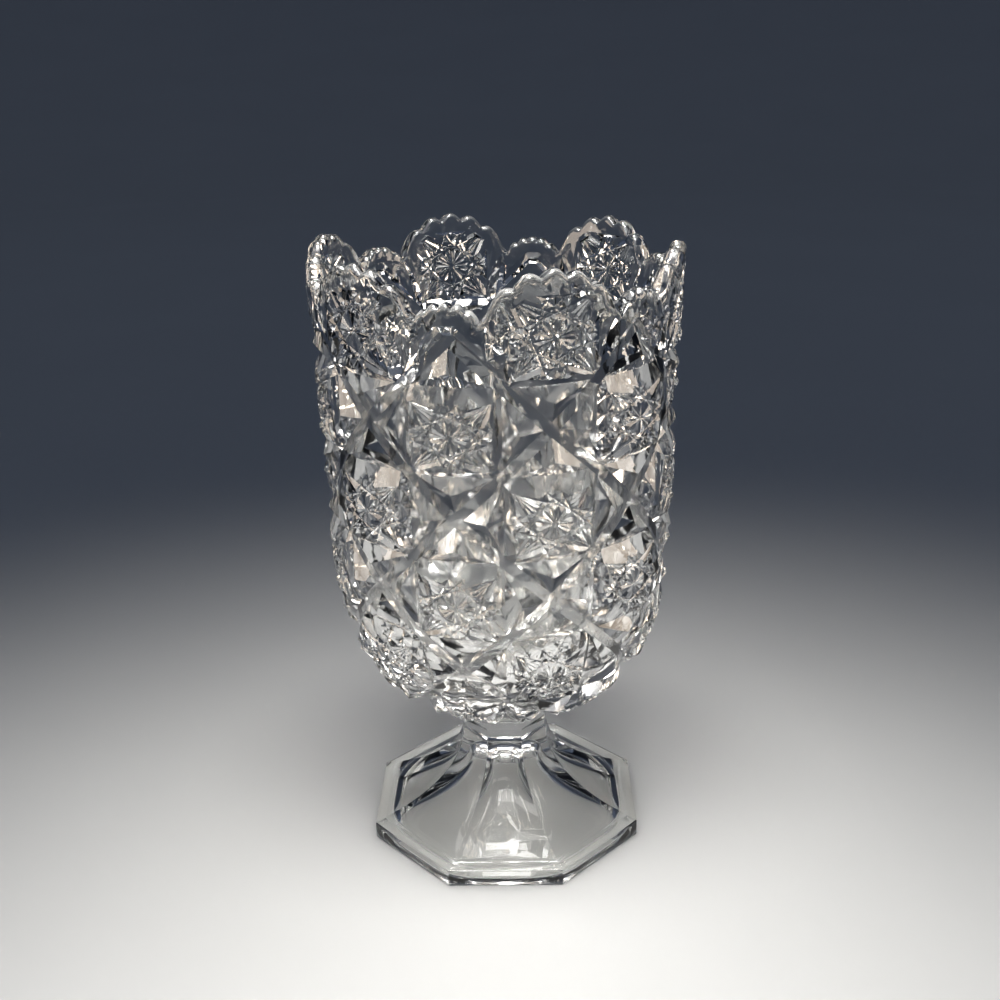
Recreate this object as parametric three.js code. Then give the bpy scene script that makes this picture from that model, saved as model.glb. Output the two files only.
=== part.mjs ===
import * as THREE from 'three';
import { mergeVertices } from 'three/addons/utils/BufferGeometryUtils.js';

// A footed vase of clear pressed glass, in millimetres, +Z up.
// The origin is the middle of the resting face, and one flat of the foot faces the front, -Y.
// Azimuths are in degrees, from the front towards +X.

// Heights of the three pieces
const footHeight = 32.4;
const stemHeight = 8.6;
const bowlHeight = 137.2;

// Foot: an eight-sided shell that sweeps up to a solid neck
const footAcrossFlats = 79.2;
const footEdgeHeight = 5.3;
const neckAcrossFlats = 24.8;
const sweepRun = 11.8;
const sweepRise = 3.7;
const neckStraight = 15.4;
const panelScoop = 2.4;
const contactRimWidth = 5.5;

// Foot: the hollow below, with a lip at the contact rim, a flare and a low dome
const lipRise = 1.4;
const lipRun = 1.5;
const flareRun = 6.1;
const flareRise = 4.8;
const hollowNeckRadius = 8.5;
const hollowNeckRun = 3.5;
const hollowNeckDrop = 8.5;
const hollowHeight = 24.5;
const domeRise = 5;

// Stem: its flats stand back from the neck by this much
const stemSetBack = 0.3;

// Bowl: outline of the raised squares, from the rim down to the stem
const bowlTurn = 17;
const rimRadius = 50.6;
const shoulderRadius = 48.85;
const shoulderHeight = 57;
const shoulderReach = 24;
const bellyTuck = 4;
const bellyHeight = 7.1;
const baseLedge = 2.9;
const baseRise = 1.4;

// Bowl: the glass inside the outline
const rimThickness = 4;
const rimRound = 1.3;
const wallUnderPattern = 3.6;
const bottomThickness = 9.6;
const smoothBelowNotch = 5;

// Bowl: six high lobes and six low ones, each with five scallops
const lobePairs = 6;
const highLobeAngle = 37.5;
const highLobeRise = 8.6;
const highScallops = 5;
const highScallopDepth = 1.7;
const lowLobeDrop = 7.4;
const lowLobeRise = 3.8;
const lowScallops = 5;
const lowScallopDepth = 0.8;
const lowLobeShoulderAngle = 1.875;

// Bowl: the pattern of squares
const patternTop = 28.1;
const squareHeight = 23;
const patternDepth = 2.7;
const crossGrooveWidth = 2.8;
const starSideBevel = 3;
const starTopBevel = 5;
const starLowBevel = 2.4;
const highStarTop = 6.6;
const starDepth = 0.9;
const leafGrooveWidth = 6.4;
const plainPanelBevel = 1.4;
const plainPanelParts = [0.15, 0.5, 0.85];
const shortestSkirt = 6;
const skirtDepth = 1;

// How finely the curves are stepped
const highScallopSteps = 4;
const lowScallopSteps = 2;
const cavitySteps = 48;
const cavityFloorRings = 8;
const sweepRings = 8;
const panelSteps = 4;
const flareRings = 8;
const domeRings = 3;

const SIDES = 8;
const halfSide = Math.PI / SIDES;
const columnAngle = 180 / lobePairs;
const stemAcrossFlats = neckAcrossFlats - 2 * stemSetBack;
const stemCornerRadius = stemAcrossFlats / 2 / Math.cos(halfSide);

const glass = new THREE.MeshStandardMaterial({
  color: 0xe8ebe6,
  roughness: 0.04,
  metalness: 0,
  transparent: true,
  opacity: 0.4,
});

// A closed surface, gathered face by face. Each face runs counterclockwise seen from outside.
class Shell {
  corners = [];

  fan(points) {
    for (let i = 1; i + 1 < points.length; i += 1) {
      this.corners.push(points[0], points[i], points[i + 1]);
    }
  }

  cone(loop, tip) {
    loop.forEach((corner, i) => this.fan([corner, loop[(i + 1) % loop.length], tip]));
  }

  // The band between two loops that run the same way, with near on the right-hand side of the walk
  stitch(near, far) {
    let i = 0;
    let j = 0;
    while (i < near.length || j < far.length) {
      const here = near[i % near.length];
      const there = far[j % far.length];
      const nextHere = near[(i + 1) % near.length];
      const nextThere = far[(j + 1) % far.length];
      const nearIsShorter = nextHere.distanceTo(there) <= here.distanceTo(nextThere);
      if (j === far.length || (i < near.length && nearIsShorter)) {
        this.fan([here, nextHere, there]);
        i += 1;
      } else {
        this.fan([here, nextThere, there]);
        j += 1;
      }
    }
  }

  mesh(name) {
    const geometry = new THREE.BufferGeometry();
    const values = this.corners.flatMap((corner) => corner.toArray());
    geometry.setAttribute('position', new THREE.Float32BufferAttribute(values, 3));
    const merged = mergeVertices(geometry, 1e-3);
    merged.computeVertexNormals();
    const mesh = new THREE.Mesh(merged, glass);
    mesh.name = name;
    return mesh;
  }
}

function polar(azimuth, radius, height) {
  const turn = THREE.MathUtils.degToRad(azimuth);
  return new THREE.Vector3(radius * Math.sin(turn), -radius * Math.cos(turn), height);
}

// The same loop, begun at its point nearest to the given one
function begunNear(loop, point) {
  const distances = loop.map((corner) => corner.distanceTo(point));
  const first = distances.indexOf(Math.min(...distances));
  return [...loop.slice(first), ...loop.slice(0, first)];
}

// An eight-sided loop with a flat to the front. Each flat has the given steps and is hollowed by scoop.
function octagon(acrossFlats, height, steps = 1, scoop = 0) {
  const apothem = acrossFlats / 2;
  const halfFlat = apothem * Math.tan(halfSide);
  const loop = [];
  for (let side = 0; side < SIDES; side += 1) {
    for (let step = 0; step < steps; step += 1) {
      const along = (2 * step) / steps - 1;
      const out = apothem - scoop * (1 - along * along);
      const point = new THREE.Vector3(along * halfFlat, -out, height);
      loop.push(point.applyAxisAngle(new THREE.Vector3(0, 0, 1), 2 * halfSide * side));
    }
  }
  return loop;
}

// The middle of the flats of the foot's hollow, from the dome down to the lip: radius against height
function hollowOutline() {
  const domeFoot = hollowHeight - domeRise;
  const lipRadius = footAcrossFlats / 2 - contactRimWidth - lipRun;
  const flare = new THREE.CubicBezierCurve(
    new THREE.Vector2(hollowNeckRadius, domeFoot),
    new THREE.Vector2(hollowNeckRadius + hollowNeckRun, domeFoot - hollowNeckDrop),
    new THREE.Vector2(lipRadius - flareRun, lipRise + flareRise),
    new THREE.Vector2(lipRadius, lipRise),
  );
  const dome = [];
  for (let ring = 1; ring < domeRings; ring += 1) {
    const turn = (Math.PI / 2) * (ring / domeRings);
    dome.push(new THREE.Vector2(hollowNeckRadius * Math.sin(turn), domeFoot + domeRise * Math.cos(turn)));
  }
  return [...dome, ...flare.getPoints(flareRings)];
}

function buildFoot() {
  const shell = new Shell();
  const hollow = hollowOutline().map(({ x: apothem, y: height }) => octagon(2 * apothem, height));
  const lip = hollow[hollow.length - 1];
  const contactInner = octagon(footAcrossFlats - 2 * contactRimWidth, 0);
  const contactOuter = octagon(footAcrossFlats, 0);
  const edgeTop = octagon(footAcrossFlats, footEdgeHeight);
  const neckTop = octagon(neckAcrossFlats, footHeight);
  shell.cone([...hollow[0]].reverse(), new THREE.Vector3(0, 0, hollowHeight));
  for (let ring = 1; ring < hollow.length; ring += 1) {
    shell.stitch(hollow[ring - 1], hollow[ring]);
  }
  shell.stitch(lip, contactInner);
  shell.stitch(contactInner, contactOuter);
  shell.stitch(contactOuter, edgeTop);

  // The sweep of a flat's middle, before it is hollowed: radius against height
  const sweep = new THREE.CubicBezierCurve(
    new THREE.Vector2(footAcrossFlats / 2, footEdgeHeight),
    new THREE.Vector2(footAcrossFlats / 2 - sweepRun, footEdgeHeight + sweepRise),
    new THREE.Vector2(neckAcrossFlats / 2, footHeight - neckStraight),
    new THREE.Vector2(neckAcrossFlats / 2, footHeight),
  );
  let below = edgeTop;
  for (let ring = 1; ring < sweepRings; ring += 1) {
    const part = ring / sweepRings;
    const { x: apothem, y: height } = sweep.getPoint(part);
    const scoop = panelScoop * Math.sin(Math.PI * part) ** 2;
    const loop = octagon(2 * apothem, height, panelSteps, scoop);
    shell.stitch(below, loop);
    below = loop;
  }
  shell.stitch(below, neckTop);
  shell.fan(neckTop);
  return shell.mesh('foot');
}

function buildStem() {
  const shell = new Shell();
  const low = octagon(stemAcrossFlats, 0);
  const high = octagon(stemAcrossFlats, stemHeight);
  shell.fan([...low].reverse());
  shell.stitch(low, high);
  shell.fan(high);
  const mesh = shell.mesh('stem');
  mesh.position.z = footHeight;
  return mesh;
}

// Outline of the bowl's outside, as radius against height above the stem
const bellyRadius = shoulderRadius - bellyTuck;
const shoulderSlope = (rimRadius - shoulderRadius) / (bowlHeight - shoulderHeight);
const outline = new THREE.CurvePath();
outline.add(new THREE.LineCurve(
  new THREE.Vector2(rimRadius, bowlHeight),
  new THREE.Vector2(shoulderRadius, shoulderHeight),
));
outline.add(new THREE.CubicBezierCurve(
  new THREE.Vector2(shoulderRadius, shoulderHeight),
  new THREE.Vector2(shoulderRadius - shoulderSlope * shoulderReach, shoulderHeight - shoulderReach),
  new THREE.Vector2(bellyRadius, bellyHeight),
  new THREE.Vector2(stemCornerRadius + baseLedge, baseRise),
));
const outlineLength = outline.getLength();

// Outline of the cavity, from the rim to the middle of its floor
const wall = patternDepth + wallUnderPattern;
const cavityTop = new THREE.LineCurve(
  new THREE.Vector2(rimRadius - rimThickness, bowlHeight),
  outline.getPoint(patternTop / outlineLength).sub(new THREE.Vector2(wall, 0)),
);
const cavityWall = new THREE.LineCurve(
  cavityTop.v2,
  new THREE.Vector2(shoulderRadius - wall, shoulderHeight),
);
const cavityFloor = new THREE.CubicBezierCurve(
  cavityWall.v2,
  new THREE.Vector2(shoulderRadius - wall, shoulderHeight - shoulderReach),
  new THREE.Vector2(bellyRadius - wall, bottomThickness),
  new THREE.Vector2(0, bottomThickness),
);

// A point of the bowl: drop is the way down the outline from the rim, and lift is the height above it
function onBowl(azimuth, drop, lift) {
  const along = drop / outlineLength;
  const { x: radius, y: height } = outline.getPoint(along);
  const down = outline.getTangent(along);
  return polar(bowlTurn + azimuth, radius - down.y * lift, height + down.x * lift);
}

function halfColumnAt(drop) {
  return outline.getPoint(drop / outlineLength).x * THREE.MathUtils.degToRad(columnAngle / 2);
}

// A square of the pattern: x and y run from -1 to 1 across it and up it
function squareAt(azimuth, top) {
  return {
    point(x, y, lift) {
      return onBowl(azimuth + (x * columnAngle) / 2, this.drop(y), lift);
    },
    drop(y) {
      return top + ((1 - y) * squareHeight) / 2;
    },
  };
}

// Part of a square's side that a crossing groove takes at each corner
const notch = (crossGrooveWidth * Math.SQRT2) / squareHeight;
const quarterTurns = [[1, 0], [0, 1], [-1, 0], [0, -1]];

function turned(x, y, [cos, sin]) {
  return [x * cos - y * sin, x * sin + y * cos];
}

// A raised three-sided pyramid that stands on the lower side of a square, or on a turn of it
function pyramid(shell, square, turn) {
  const at = (x, y, lift) => square.point(...turned(x, y, turn), lift);
  const halfBase = 1 - notch;
  const peak = at(0, -1 + (Math.SQRT2 - 1) * halfBase, 0);
  const base = [
    at(-halfBase, -1, -patternDepth),
    at(0, -1, -patternDepth),
    at(halfBase, -1, -patternDepth),
    at(0, -notch, -patternDepth),
  ];
  shell.cone(base, peak);
}

// The floor of a groove that runs from a square's middle to its corner (1, 1), or to a turn of it
function grooveArm(shell, square, turn) {
  const at = (x, y) => square.point(...turned(x, y, turn), -patternDepth);
  shell.fan([at(notch, 0), at(1, 1 - notch), at(1, 1), at(1 - notch, 1), at(0, notch)]);
}

function grooveCrossing(shell, square) {
  shell.fan(quarterTurns.map((turn) => square.point(...turned(notch, 0, turn), -patternDepth)));
}

function crossSquare(shell, square) {
  quarterTurns.forEach((turn) => {
    pyramid(shell, square, turn);
    grooveArm(shell, square, turn);
  });
  grooveCrossing(shell, square);
}

// The corner of a square that a groove of its neighbours cuts off
function cutCorner(shell, square, turn) {
  const at = (x, y) => square.point(...turned(x, y, turn), -patternDepth);
  shell.fan([at(1, 1 - notch), at(1, 1), at(1 - notch, 1)]);
}

// Points 0 to 7 go round a face from the middle of its lower side, and the odd ones are its corners
function faceBorder(at) {
  return [[0, -1], [1, -1], [1, 0], [1, 1], [0, 1], [-1, 1], [-1, 0], [-1, -1]].map(([p, q]) => at(p, q, 0));
}

// A star sunk in a raised face, with eight ridges from its middle to the face's corners and sides
function sunkenStar(shell, at) {
  const rosetteRadius = 0.42;
  const tipReach = 0.74;
  const rosette = [];
  const tips = [];
  for (let ray = 0; ray < 2 * SIDES; ray += 1) {
    const turn = halfSide * ray - Math.PI / 2;
    const [cos, sin] = [Math.cos(turn), Math.sin(turn)];
    const reach = tipReach / Math.max(Math.abs(cos), Math.abs(sin));
    const lift = ray % 2 === 0 ? 0 : -starDepth;
    rosette.push(at(rosetteRadius * cos, rosetteRadius * sin, lift));
    tips.push(at(reach * cos, reach * sin, lift));
  }
  shell.stitch(faceBorder(at), tips);
  shell.stitch(tips, rosette);
  shell.cone(rosette, at(0, 0, -starDepth));
}

// A raised face with its star, between two heights of a square
function starFace(shell, square, lowY, topY) {
  const at = (p, q, lift) => {
    const y = THREE.MathUtils.mapLinear(q, -1, 1, lowY, topY);
    const width = 1 - starSideBevel / halfColumnAt(square.drop(y));
    return square.point(p * width, y, lift);
  };
  sunkenStar(shell, at);
  return faceBorder(at);
}

const starLowY = -1 + (2 * starLowBevel) / squareHeight;

function starSquare(shell, square) {
  const topY = 1 - (2 * starTopBevel) / squareHeight;
  const face = starFace(shell, square, starLowY, topY);
  const border = quarterTurns.flatMap((turn) => (
    [[0, -1], [1 - notch, -1], [1, notch - 1]].map(([x, y]) => (
      square.point(...turned(x, y, turn), -patternDepth)))
  ));
  shell.stitch(border, face);
  quarterTurns.forEach((turn) => cutCorner(shell, square, turn));
}

// One point of the last stretch of pattern, which runs out onto the stem
function skirtPoint(shell, azimuth, top) {
  const square = squareAt(azimuth, top);
  const upper = [1, 1 - notch, 0, notch - 1, -1].map((x) => square.point(x, 1, -patternDepth));
  const lower = [-1, 1].map((x) => onBowl(azimuth + (x * columnAngle) / 2, outlineLength, -skirtDepth));
  const peak = onBowl(azimuth, (top + outlineLength) / 2, 0);
  shell.cone([...lower, ...upper], peak);
}

// The crest of a lobe, as azimuth from its middle and drop: scallops along an arc of the given rise
function lobeCrest({ angle, top, rise, scallops, steps, depth }) {
  const halfWidth = (rimRadius * THREE.MathUtils.degToRad(angle)) / 2;
  const radius = (halfWidth ** 2 + rise ** 2) / (2 * rise);
  const crest = [];
  for (let i = 0; i <= scallops * steps; i += 1) {
    const across = (2 * i) / (scallops * steps) - 1;
    const arcDrop = radius - Math.sqrt(radius ** 2 - (across * halfWidth) ** 2);
    const scallopDrop = depth * (1 - Math.abs(Math.sin((Math.PI * i) / steps)));
    crest.push({ azimuth: (across * angle) / 2, drop: top + arcDrop + scallopDrop });
  }
  return crest;
}

const highCrest = lobeCrest({
  angle: highLobeAngle,
  top: 0,
  rise: highLobeRise,
  scallops: highScallops,
  steps: highScallopSteps,
  depth: highScallopDepth,
});
const notchDrop = highLobeRise + highScallopDepth;

const lowLobeAngle = 2 * columnAngle - highLobeAngle;
const lowCrest = lobeCrest({
  angle: lowLobeAngle - 2 * lowLobeShoulderAngle,
  top: lowLobeDrop,
  rise: lowLobeRise,
  scallops: lowScallops,
  steps: lowScallopSteps,
  depth: lowScallopDepth,
});

const outerRim = (azimuth, drop) => onBowl(azimuth, drop + rimRound, 0);

// The outer edge of the rim over a lobe, walked from its right-hand end to its left
function rimEdge(crest, middle) {
  return crest.map(({ azimuth, drop }) => outerRim(middle + azimuth, drop)).reverse();
}

// A point of the leaf-shaped groove on one side, -1 or 1, of the high lobe at the given azimuth.
// Part 0 is the groove's foot, on the pattern's top ring, and part 1 its point, in the rim's notch.
function leafGroove(lobe, side, part) {
  const turn = THREE.MathUtils.lerp(columnAngle / 2, highLobeAngle / 2, part);
  const drop = THREE.MathUtils.lerp(patternTop, notchDrop + rimRound, part);
  return onBowl(lobe + side * turn, drop, -patternDepth * (1 - part ** 2));
}

// A point of the edge where that groove meets the plain panel beside it
function leafEdge(lobe, side, part) {
  const width = (leafGrooveWidth / 2) * Math.sqrt(1 - part ** 2);
  const turn = THREE.MathUtils.lerp(columnAngle / 2, highLobeAngle / 2, part);
  const drop = THREE.MathUtils.lerp(patternTop, notchDrop + rimRound, part);
  return onBowl(lobe + side * (turn + THREE.MathUtils.radToDeg(width / rimRadius)), drop, 0);
}

const leafMiddle = 0.5;
const leafFoot = (notch * squareHeight) / 2 / (patternTop - notchDrop - rimRound);
const panelTop = patternTop - squareHeight;

// The panel under a high lobe, with its star
function highPanel(shell, middle) {
  const square = squareAt(middle, panelTop);
  const face = starFace(shell, square, starLowY, 1 - (2 * (highStarTop - panelTop)) / squareHeight);
  shell.stitch([
    square.point(0, -1, -patternDepth),
    square.point(1 - notch, -1, -patternDepth),
    leafGroove(middle, 1, leafFoot),
    leafGroove(middle, 1, leafMiddle),
    ...rimEdge(highCrest, middle),
    leafGroove(middle, -1, leafMiddle),
    leafGroove(middle, -1, leafFoot),
    square.point(notch - 1, -1, -patternDepth),
  ], face);
  const cut = (side) => [
    square.point(side * (1 - notch), -1, -patternDepth),
    square.point(side, -1, -patternDepth),
    leafGroove(middle, side, leafFoot),
  ];
  shell.fan(cut(1));
  shell.fan(cut(-1).reverse());
}

// The plain panel under a low lobe, above one pyramid and the two grooves that meet over it
function lowPanel(shell, middle) {
  const square = squareAt(middle, panelTop);
  pyramid(shell, square, quarterTurns[0]);
  grooveCrossing(shell, square);
  const groove = (side, part) => leafGroove(middle + side * columnAngle, -side, part);
  const edge = (side, part) => leafEdge(middle + side * columnAngle, -side, part);
  const arm = (side) => {
    const at = (x, y) => square.point(side * x, y, -patternDepth);
    return [at(0, -notch), at(1 - notch, -1), at(1, -1), groove(side, leafFoot), at(notch, 0)];
  };
  shell.fan(arm(1));
  shell.fan(arm(-1).reverse());

  const ends = [lowLobeAngle / 2, -lowLobeAngle / 2].map((azimuth) => outerRim(middle + azimuth, notchDrop));
  const archTop = notch + (2 * plainPanelBevel) / squareHeight;
  const plain = [
    square.point(0, archTop, 0),
    ...plainPanelParts.map((part) => edge(1, part)),
    ...plainPanelParts.map((part) => edge(-1, part)).reverse(),
  ];
  shell.stitch([
    square.point(0, notch, -patternDepth),
    square.point(notch, 0, -patternDepth),
    groove(1, leafFoot),
    groove(1, leafMiddle),
    ends[0],
    ...rimEdge(lowCrest, middle),
    ends[1],
    groove(-1, leafMiddle),
    groove(-1, leafFoot),
    square.point(-notch, 0, -patternDepth),
  ], plain);
  shell.cone(plain, onBowl(middle, (lowLobeDrop + square.drop(archTop)) / 2, 0));
}

// Whole turns of the rim: the outer edge, the crest and the inner edge, which follow every scallop
function rimLoops() {
  const crests = [];
  for (let lobe = 0; lobe < lobePairs; lobe += 1) {
    const middle = lobe * 2 * columnAngle;
    highCrest.forEach(({ azimuth, drop }) => crests.push({ azimuth: middle + azimuth, drop }));
    lowCrest.forEach(({ azimuth, drop }) => crests.push({ azimuth: middle + columnAngle + azimuth, drop }));
  }
  return {
    outer: crests.map(({ azimuth, drop }) => outerRim(azimuth, drop)),
    crest: crests.map(({ azimuth, drop }) => (
      polar(bowlTurn + azimuth, rimRadius - rimThickness / 2, bowlHeight - drop))),
    inner: crests.map(({ azimuth, drop }) => {
      const { x: radius, y: height } = cavityTop.getPoint((drop + rimRound) / patternTop);
      return polar(bowlTurn + azimuth, radius, height);
    }),
  };
}

function cavityRing({ x: radius, y: height }) {
  const ring = [];
  for (let step = 0; step < cavitySteps; step += 1) {
    ring.push(polar(bowlTurn + (360 * step) / cavitySteps, radius, height));
  }
  return ring;
}

function rimAndCavity(shell) {
  const { outer, crest, inner } = rimLoops();
  shell.stitch(outer, crest);
  shell.stitch(crest, inner);
  const firstRing = (notchDrop + smoothBelowNotch) / patternTop;
  const rings = [cavityTop.getPoint(firstRing), cavityTop.v2, cavityWall.getPoint(0.5)].map(cavityRing);
  for (let i = 0; i < cavityFloorRings; i += 1) {
    rings.push(cavityRing(cavityFloor.getPoint(i / cavityFloorRings)));
  }
  shell.stitch(inner, begunNear(rings[0], inner[0]));
  for (let i = 1; i < rings.length; i += 1) {
    shell.stitch(rings[i - 1], rings[i]);
  }
  shell.cone(rings.at(-1), polar(0, 0, bottomThickness));
}

function buildBowl() {
  const shell = new Shell();
  const columns = 2 * lobePairs;
  const rows = Math.floor((outlineLength - patternTop - shortestSkirt) / squareHeight);
  const baseRing = [];
  for (let column = 0; column < columns; column += 1) {
    const azimuth = column * columnAngle;
    const isHigh = column % 2 === 0;
    const panel = isHigh ? highPanel : lowPanel;
    panel(shell, azimuth);
    for (let row = 0; row < rows; row += 1) {
      const square = squareAt(azimuth, patternTop + row * squareHeight);
      const fill = (column + row) % 2 === 0 ? crossSquare : starSquare;
      fill(shell, square);
    }
    skirtPoint(shell, azimuth, patternTop + rows * squareHeight);
    baseRing.push(onBowl(azimuth - columnAngle / 2, outlineLength, -skirtDepth));
  }
  const seat = octagon(stemAcrossFlats, 0);
  shell.fan([...seat].reverse());
  shell.stitch(seat, begunNear(baseRing, seat[0]));
  rimAndCavity(shell);
  const mesh = shell.mesh('bowl');
  mesh.position.z = footHeight + stemHeight;
  return mesh;
}

const vase = new THREE.Group();
vase.add(buildFoot(), buildStem(), buildBowl());

export default vase;
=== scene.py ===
import math

import bmesh
import bpy
import numpy as np
from mathutils import Matrix, Vector
from mathutils.kdtree import KDTree


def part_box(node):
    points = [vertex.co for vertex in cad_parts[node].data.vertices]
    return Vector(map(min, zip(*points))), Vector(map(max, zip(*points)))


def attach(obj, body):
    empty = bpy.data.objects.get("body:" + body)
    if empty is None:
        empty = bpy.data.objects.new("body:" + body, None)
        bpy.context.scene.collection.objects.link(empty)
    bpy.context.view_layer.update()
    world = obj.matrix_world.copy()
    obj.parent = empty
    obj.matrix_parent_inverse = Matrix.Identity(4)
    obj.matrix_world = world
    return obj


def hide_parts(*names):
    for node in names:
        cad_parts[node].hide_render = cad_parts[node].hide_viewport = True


# A footed vase of clear pressed glass, on a pale studio floor.
# Shapes are worked out in millimetres, with +Z up and the front at -Y, and built in metres.
# Azimuths are in degrees, from the front towards +X.

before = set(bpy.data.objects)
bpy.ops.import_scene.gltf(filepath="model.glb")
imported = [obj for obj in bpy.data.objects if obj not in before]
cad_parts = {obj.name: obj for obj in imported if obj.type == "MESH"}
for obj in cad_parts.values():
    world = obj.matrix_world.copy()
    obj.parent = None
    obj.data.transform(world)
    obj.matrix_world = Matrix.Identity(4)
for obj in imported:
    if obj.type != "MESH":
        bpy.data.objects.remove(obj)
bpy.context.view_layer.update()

MM = 0.001


def node_size(node):
    """Lowest and highest corner of a node, in millimetres."""
    return [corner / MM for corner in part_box(node)]


foot_low, foot_high = node_size("foot")
stem_low, stem_high = node_size("stem")
bowl_low, bowl_high = node_size("bowl")

# Foot
SIDES = 8
foot_across = foot_high.x - foot_low.x
foot_height = foot_high.z
foot_edge_height = 5.3
neck_across = 24.8
sweep_run = 11.8
sweep_rise = 3.7
neck_straight = 15.4
panel_scoop = 2.4
contact_width = 5.5
wear_width = 0.5
edge_round = 0.5
corner_round = 0.35
seam_inset = 3
seam_width = 0.5
seam_rise = 0.11

# Foot: the hollow below, with a lip at the contact rim, a flare and a low dome
lip_rise = 1.4
lip_run = 1.5
flare_run = 6.1
flare_rise = 4.8
hollow_neck_radius = 8.5
hollow_neck_run = 3.5
hollow_neck_drop = 8.5
hollow_height = 24.5
dome_rise = 5
dome_top_turn = 0.3
hollow_corner_share = 0.6

# Stem
stem_across = stem_high.x - stem_low.x

# Bowl: outline of the raised squares
bowl_turn = 17
bowl_base = bowl_low.z
bowl_height = bowl_high.z - bowl_low.z
rim_radius = (bowl_high.x - bowl_low.x) / 2
shoulder_radius = 48.85
shoulder_height = 57
shoulder_reach = 24
belly_tuck = 4
belly_height = 7.1
base_ledge = 2.9
base_rise = 1.4

# Bowl: the glass inside the outline
rim_thickness = 4
rim_round = 1.8
crest_margin = 0.05
wall_under_pattern = 3.6
bottom_thickness = 9.6

# Bowl: six high lobes and six low ones, each with five scallops
lobe_pairs = 6
column_angle = 30
high_lobe_angle = 37.5
high_lobe_rise = 8.6
high_scallop_depth = 1.7
low_lobe_drop = 7.4
low_lobe_rise = 3.8
low_scallop_depth = 0.8
low_lobe_shoulder = 1.875
scallops = 5

# Bowl: the pattern of squares
pattern_top = 28.1
square_height = 23
square_rows = 5
pattern_depth = 2.7
groove_width = 2.8
side_bevel = 3
top_bevel = 5
low_bevel = 2.4
corner_slope = 0.8
skirt_depth = 1

# Bowl: the star of a square. Depths are in millimetres, widths and radii in shares of the star's reach
star_points = 8
star_groove_depth = 0.85
star_groove_half_width = 0.115
fan_groove_depth = 0.7
fan_groove_half_width = 0.08
fan_angle = 11.25
rosette_rays = 16
rosette_depth = 0.75
ray_end_steepness = 2
button_radius = 0.1
button_depth = 0.35

# Bowl: how far the stars reach on their faces, and the planes that bound those of the high panels
star_top_overlap = 1.3
star_side_overlap = 0.2
high_star_top = 6.6
high_star_side_gap = 1
high_star_top_gap = 0.7
high_star_shoulder_share = 0.62
high_star_shoulder_angle = 58
high_star_limit_slope = 1

# Bowl: the leaf grooves and the arches of the panels under the rim
leaf_slope = 0.84
leaf_parts = (0.1, 0.4, 0.65, 0.85, 1)
leaf_power = 3
leaf_stop = 0.6
arch_steep_slope = 1.5
arch_bevel_slope = 0.55
arch_bevel_start = 1.3
arch_bevel_depth = pattern_depth / 3
arch_blunting = 0.9

# Old water marks inside the bowl
water_line = 24
water_fade = 12

# How finely the curves are stepped
outline_steps = 400
high_scallop_steps = 8
low_scallop_steps = 6
rim_steps = 10
bends_across = 3
bends_down = 4
cavity_top_rings = 8
cavity_wall_rings = 6
cavity_floor_rings = 20
sweep_rings = 28
hollow_rings = 20
dome_rings = 6
panel_steps = 6
round_steps = 8
corner_steps = 5

# The angle between two faces from which the edge between them is sharp, in degrees
relief_crease = 10
ridge_crease = 32
smooth_crease = 50

half_side = math.pi / SIDES
half_square = square_height / 2
point_angle = 360 / star_points

# The square that a star is drawn in reaches from -1 to 1 both ways
SIDE_DIRECTIONS = (0, 90, 180, 270)
CORNER_DIRECTIONS = (45, 135, 225, 315)
CORNER_REACH = math.sqrt(2)

# How near, in millimetres, two heights are level, two places are one, and a place is on a side
TINY = 1e-7
WELD = 0.006
MATCH = 0.0001
ON_SIDE = 0.002


# Curves

def bezier(points, steps):
    """Points of a cubic Bezier curve."""
    a, b, c, d = (np.array(point, float) for point in points)
    t = np.linspace(0, 1, steps + 1)[:, None]
    return (1 - t) ** 3 * a + 3 * (1 - t) ** 2 * t * b + 3 * (1 - t) * t ** 2 * c + t ** 3 * d


def polar(azimuth, radius, height):
    """Places at one or many azimuths round the vase's axis."""
    turn = np.radians(azimuth)
    return np.column_stack([radius * np.sin(turn), -radius * np.cos(turn), height + 0 * turn])


shoulder_slope = (rim_radius - shoulder_radius) / (bowl_height - shoulder_height)
stem_corner_radius = stem_across / 2 / math.cos(half_side)
outline = np.vstack([
    [[rim_radius, bowl_height]],
    bezier([
        (shoulder_radius, shoulder_height),
        (shoulder_radius - shoulder_slope * shoulder_reach, shoulder_height - shoulder_reach),
        (shoulder_radius - belly_tuck, belly_height),
        (stem_corner_radius + base_ledge, base_rise),
    ], outline_steps),
])
outline_moves = np.diff(outline, axis=0)
outline_lengths = np.linalg.norm(outline_moves, axis=1)
outline_drops = np.concatenate([[0], np.cumsum(outline_lengths)])
outline_length = outline_drops[-1]
outline_tangents = outline_moves / outline_lengths[:, None]
outline_tangents = np.vstack([outline_tangents, outline_tangents[-1:]])


def outline_at(drop):
    """Radius, height and downward direction of the bowl's outline at a drop along it from the rim."""
    values = np.column_stack([outline, outline_tangents])
    return [np.interp(drop, outline_drops, column) for column in values.T]


def on_bowl(flat):
    """Places of points that are given as azimuth from a high lobe, drop from the rim and lift."""
    azimuth, drop, lift = np.asarray(flat, float).T
    radius, height, out, down = outline_at(drop)
    return polar(bowl_turn + azimuth, radius - down * lift, bowl_base + height + out * lift)


# Cutting: a polygon is a list of (x, y, height), and a plane (a, b, c) has the height ax + by + c

def rising(point, uphill, slope, height):
    """The plane that has a height at a point and rises at a slope along the uphill step."""
    a, b = slope * uphill[0], slope * uphill[1]
    return a, b, height - a * point[0] - b * point[1]


def through(points):
    """The plane through three points."""
    rows = [(x, y, 1) for x, y, _ in points]
    return tuple(np.linalg.solve(rows, [height for _, _, height in points]))


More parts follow.
